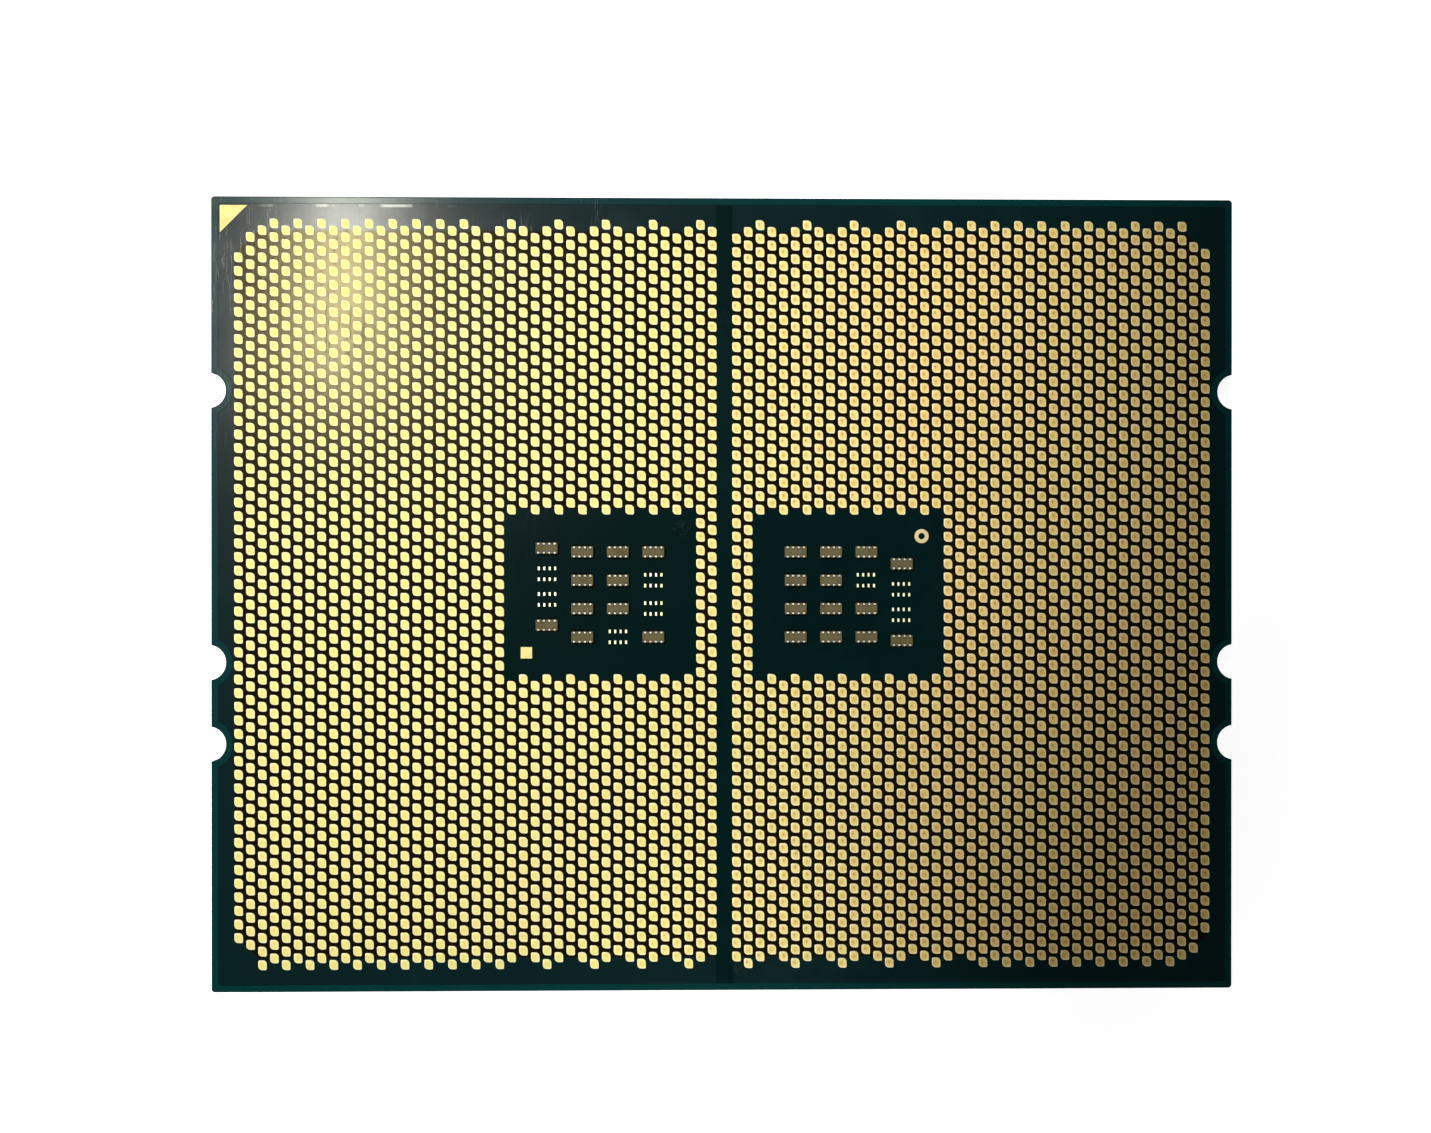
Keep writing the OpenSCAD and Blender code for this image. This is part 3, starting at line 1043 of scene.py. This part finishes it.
@dataclass
class GoldMarks:
    """The pin-one triangles, the two alignment marks and the solder pads."""

    edge_round: Bevel = (0.012 * MM, 1)
    marks: tuple[str, ...] = ("pin_one_mark", "pin_one_mark_lid_side", "square_fiducial")
    ring: tuple[str, ...] = ("ring_fiducial",)
    pads: tuple[str, ...] = ("footprints_left", "footprints_right")
    pad_opening: Place = (0.82, 0.87, 1.0)

    def build(self) -> None:
        """Build each mark and each set of pads with softened edges."""
        for nodes, finish in ((self.marks, GOLD), (self.ring, PALE_GOLD), (self.pads, PAD)):
            for node in nodes:
                bm = merged_copy(node)
                if node in self.pads:
                    self.narrow(bm)
                soften(bm, self.edge_round)
                add_piece(f"{node}_plated", bm, finish.material(), Slot.GOLD, node)

    def narrow(self, bm: BMesh) -> None:
        """Draw each pad in to the opening that the solder mask leaves over it.

        Args:
            bm: The pads.
        """
        for face in bm.faces:
            if abs(face.normal.z) > LEVEL:
                centre = Matrix.Translation(-face.calc_center_median())
                bmesh.ops.scale(bm, vec=Vector(self.pad_opening), space=centre, verts=face.verts)


@dataclass
class Capacitors:
    """The land-side capacitors: ceramic blocks, wrapped terminals and solder fillets."""

    block_round: Bevel = (0.05 * MM, 3)
    flat_area: float = 0.2 * MM * MM
    terminal_round: Bevel = (0.06 * MM, 4)
    terminal_pitch: float = 0.4 * MM
    terminal_width: float = 0.18 * MM
    terminals_per_side: int = 4
    broad_area: float = 0.02 * MM * MM
    along_block: float = 0.99
    plating: float = 0.03 * MM
    wrap: float = 0.2 * MM
    fillet_width: float = 0.194 * MM
    fillet_reach: float = 0.122 * MM
    fillet_rise: float = 0.26 * MM
    fillet_hollow: Span = (0.30, 0.30)
    left_count: int = 11
    right_count: int = 13
    finish: TerminalFinish = TerminalFinish()

    def names(self, side: Side) -> list[str]:
        """Nodes of one side's ceramic blocks."""
        count = self.left_count if side is Side.LEFT else self.right_count
        return [f"capacitor_{side.word}_{number}" for number in range(1, count + 1)]

    def build(self, side: Side) -> None:
        """Build one side's capacitors.

        Args:
            side: The window that they stand in.
        """
        for node in self.names(side):
            bm = merged_copy(node)
            soften(bm, self.block_round)
            for face in bm.faces:
                face.smooth = face.calc_area() < self.flat_area
            add_piece(f"{node}_block", bm, CERAMIC.material(), Slot.CERAMIC, node)
        node = f"terminals_{side.word}"
        bm = merged_copy(node)
        corners = [edge for edge in bm.edges if self.is_corner(edge)]
        round_off(bm, corners, self.terminal_round)
        self.mark_tips(bm, side)
        add_piece(f"{node}_plated", bm, self.finish.material(), Slot.TIN, node)
        self.build_fillets(side)

    def mark_tips(self, bm: BMesh, side: Side) -> None:
        """Store how near each point of the terminals lies to its block's long edge, and how far aside.

        Args:
            bm: The terminals.
            side: The window that they stand in.
        """
        names = (self.finish.tip_name, self.finish.side_name)
        for name in names:
            bm.verts.layers.float.new(name)
        tip, aside = (bm.verts.layers.float[name] for name in names)
        boxes = [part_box(node) for node in self.names(side)]
        for vert in bm.verts:
            low, high = min(boxes, key=lambda box: ((box[0] + box[1]) / 2 - vert.co).length)
            inside = min(vert.co.y - low.y, high.y - vert.co.y)
            vert[tip] = 1.0 - max(0.0, inside) / self.wrap
            pitches = (vert.co.x - (low.x + high.x) / 2) / self.terminal_pitch + self.terminals_per_side / 2
            vert[aside] = (pitches % 1.0 - 0.5) * self.terminal_pitch * 2.0 / self.terminal_width

    def is_corner(self, edge: BMEdge) -> bool:
        """Whether an edge is one of a terminal's two outer corners, where its broad faces meet."""
        run = (edge.verts[1].co - edge.verts[0].co).normalized()
        return (edge.is_manifold and edge.is_convex and abs(run.x) > self.along_block
                and min(face.calc_area() for face in edge.link_faces) > self.broad_area)

    def one_fillet(self) -> Mesh:
        """Model one hollow fillet at the origin, rising along Z against a wall that faces +Y.

        Returns:
            Its mesh.
        """
        bm = bmesh.new()
        reach, rise = self.fillet_reach, self.fillet_rise
        in_share, up_share = self.fillet_hollow
        profile = ((0.0, 0.0), (reach, 0.0), (reach * in_share, rise * up_share), (0.0, rise))
        face = bm.faces.new([bm.verts.new((-self.fillet_width / 2, y, z)) for y, z in profile])
        grown = bmesh.ops.extrude_face_region(bm, geom=[face])["geom"]
        far = [part for part in grown if isinstance(part, BMVert)]
        bmesh.ops.translate(bm, vec=Vector((self.fillet_width, 0.0, 0.0)), verts=far)
        bmesh.ops.recalc_face_normals(bm, faces=bm.faces)
        return into_mesh("one_fillet", bm)

    def build_fillets(self, side: Side) -> None:
        """Build the solder at the foot of each terminal of one side's capacitors, as one piece.

        Args:
            side: The window that they stand in.
        """
        fillet = self.one_fillet()
        bm = bmesh.new()
        for node in self.names(side):
            low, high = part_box(node)
            middle = (low + high) / 2
            place = Matrix.Translation((middle.x, middle.y, low.z - self.plating))
            for turn in (0.0, math.pi):
                for number in range(self.terminals_per_side):
                    x = (number - (self.terminals_per_side - 1) / 2) * self.terminal_pitch
                    spot = Matrix.Translation((x, (high.y - low.y) / 2 + self.plating, 0.0))
                    copy = fillet.copy()
                    copy.transform(place @ Matrix.Rotation(turn, 4, "Z") @ spot)
                    bm.from_mesh(copy)
                    bpy.data.meshes.remove(copy)
        bpy.data.meshes.remove(fillet)
        add_piece(f"solder_fillets_{side.word}", bm, FILLET.material(), Slot.TIN)


@dataclass
class Lid:
    """The heat spreader and the bead that seals it."""

    edge_round: Bevel = (0.12 * MM, 3)
    seal_round: Bevel = (0.05 * MM, 2)

    def build(self) -> None:
        """Build the lid and its seal with rounded edges."""
        bm = merged_copy("heat_spreader")
        soften(bm, self.edge_round)
        add_piece("heat_spreader_plated", bm, NICKEL.material(), Slot.NICKEL, "heat_spreader")
        bm = merged_copy("lid_seal")
        soften(bm, self.seal_round)
        add_piece("lid_seal_bead", bm, SILICONE.material(), Slot.SILICONE, "lid_seal")


@dataclass
class Inside:
    """The pieces under the lid, which keep their CAD shapes."""

    dies: int = 4

    def dress(self) -> None:
        """Give each inner piece its finish."""
        for stem, finish in (("die", SILICON), ("underfill", RESIN), ("solder", SOLDER)):
            for number in range(1, self.dies + 1):
                dress_node(f"{stem}_{number}", finish)
        dress_node("die_side_capacitors", CERAMIC)
        dress_node("die_side_terminals", TIN)


@dataclass(frozen=True)
class Spot:
    """A small spot lamp."""

    aim: Place
    beam: float
    edge: float
    power: float
    radius: float = 0.006

    def hang(self, name: str, place: Vector) -> None:
        """Hang one such lamp.

        Args:
            name: The lamp's name.
            place: Where it hangs.
        """
        data = bpy.data.lights.new(name, "SPOT")
        data.shadow_soft_size = self.radius
        data.spot_size = self.beam
        data.spot_blend = self.edge
        data.energy = self.power
        turn = (Vector(self.aim) - place).to_track_quat("-Z", "Y")
        into_scene(name, data).matrix_world = Matrix.Translation(place) @ turn.to_matrix().to_4x4()


@dataclass
class Studio:
    """Camera, lamps, floor and surround."""

    lens: float = 50.045
    sensor: float = 36.0
    clip_start: float = 0.005
    camera_place: Place = (-3.866, 2.456, 146.79)
    aim: Place = (-0.657, 2.056, 0.0)
    floor_size: float = 4.0
    floor_colour: Colour = (0.93, 0.93, 0.93)
    floor_roughness: float = 0.9
    floor_glow: float = 0.78
    floor_mirrored_glow: float = 0.40
    floor_drop: float = 0.02 * MM
    sky_light: Span = (0.85, 0.10)
    sky_height: Span = (0.15, 0.80)
    key_first: Place = (-0.125, 0.140, 0.606)
    key_last: Place = (-0.128, 0.074, 0.606)
    key_count: int = 5
    key: Spot = Spot((-0.066, 0.0386, 0.006), beam=math.radians(20.71), edge=0.524, power=2.14)
    fill_place: Place = (0.0, -0.330, 0.606)
    fill: Spot = Spot((0.003, -0.035, 0.006), beam=math.radians(3.7), edge=1.0, power=4.7)

    def build(self) -> None:
        """Set up the whole studio round the object."""
        self.camera()
        self.floor()
        self.surround()
        self.lamps()
        bpy.context.scene.view_settings.view_transform = "Standard"

    def camera(self) -> None:
        """Look down on the lands from the photograph's place."""
        origin = Vector((0.0, 0.0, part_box("lands_left_bank")[1].z))
        place = origin + Vector(self.camera_place) * MM
        aim = origin + Vector(self.aim) * MM
        data = bpy.data.cameras.new("camera")
        data.sensor_fit = "HORIZONTAL"
        data.sensor_width = self.sensor
        data.lens = self.lens
        data.clip_start = self.clip_start
        camera = into_scene("camera", data)
        back = (place - aim).normalized()
        across = Vector((0.0, 1.0, 0.0)).cross(back).normalized()
        turn = Matrix((across, back.cross(across), back)).transposed()
        camera.matrix_world = Matrix.Translation(place) @ turn.to_4x4()
        bpy.context.scene.camera = camera

    def floor(self) -> None:
        """Lay a plain pale floor under the object, clear when it is looked through from below."""
        bm = bmesh.new()
        bmesh.ops.create_grid(bm, x_segments=1, y_segments=1, size=self.floor_size / 2)
        lift(bm, bm.verts, -self.floor_drop)
        mesh = into_mesh("floor", bm)
        material, graph, shader = new_material("pale_floor")
        path = graph.add("ShaderNodeLightPath").outputs
        mirrored = graph.math("MAXIMUM", path["Is Glossy Ray"], path["Is Transmission Ray"])
        mirrored = graph.product(mirrored, self.floor_mirrored_glow)
        below = graph.add("ShaderNodeNewGeometry").outputs["Backfacing"]
        glow = graph.math("MULTIPLY_ADD", path["Is Camera Ray"], self.floor_glow, mirrored)
        graph.feed(shader, {
            "Base Color": self.floor_colour,
            "Roughness": self.floor_roughness,
            "Emission Color": WHITE,
            "Emission Strength": glow,
            "Alpha": graph.math("SUBTRACT", 1.0, below),
        })
        mesh.materials.append(material)
        floor = into_scene("floor", mesh)

    def surround(self) -> None:
        """Light everything evenly from the sides and less from above."""
        world = bpy.data.worlds.new("surround")
        world.use_nodes = True
        graph = Graph(world.node_tree)
        height = graph.split(graph.add("ShaderNodeTexCoord").outputs["Generated"])[2]
        rise = graph.ramp(height, *self.sky_height)
        strength = graph.span(rise, *self.sky_light)
        graph.feed(graph.tree.nodes["Background"], {"Color": WHITE, "Strength": strength})
        bpy.context.scene.world = world

    def lamps(self) -> None:
        """Hang a row of soft-edged lamps at the upper left, and a weak one below the view."""
        first, last = Vector(self.key_first), Vector(self.key_last)
        for number in range(self.key_count):
            self.key.hang(f"key_{number + 1}", first.lerp(last, number / (self.key_count - 1)))
        self.fill.hang("fill", Vector(self.fill_place))


def main() -> None:
    """Build the package and its studio."""
    logging.basicConfig(level=logging.INFO, format="%(name)s %(message)s")
    for effect in (build_grain, build_smudges, build_hairlines, build_scuff):
        effect()
    Studio().build()
    Board().build()
    lands = LandField()
    capacitors = Capacitors()
    for side in Side:
        lands.build(side)
        capacitors.build(side)
    GoldMarks().build()
    Lid().build()
    Inside().dress()


if __name__ == "__main__":
    main()
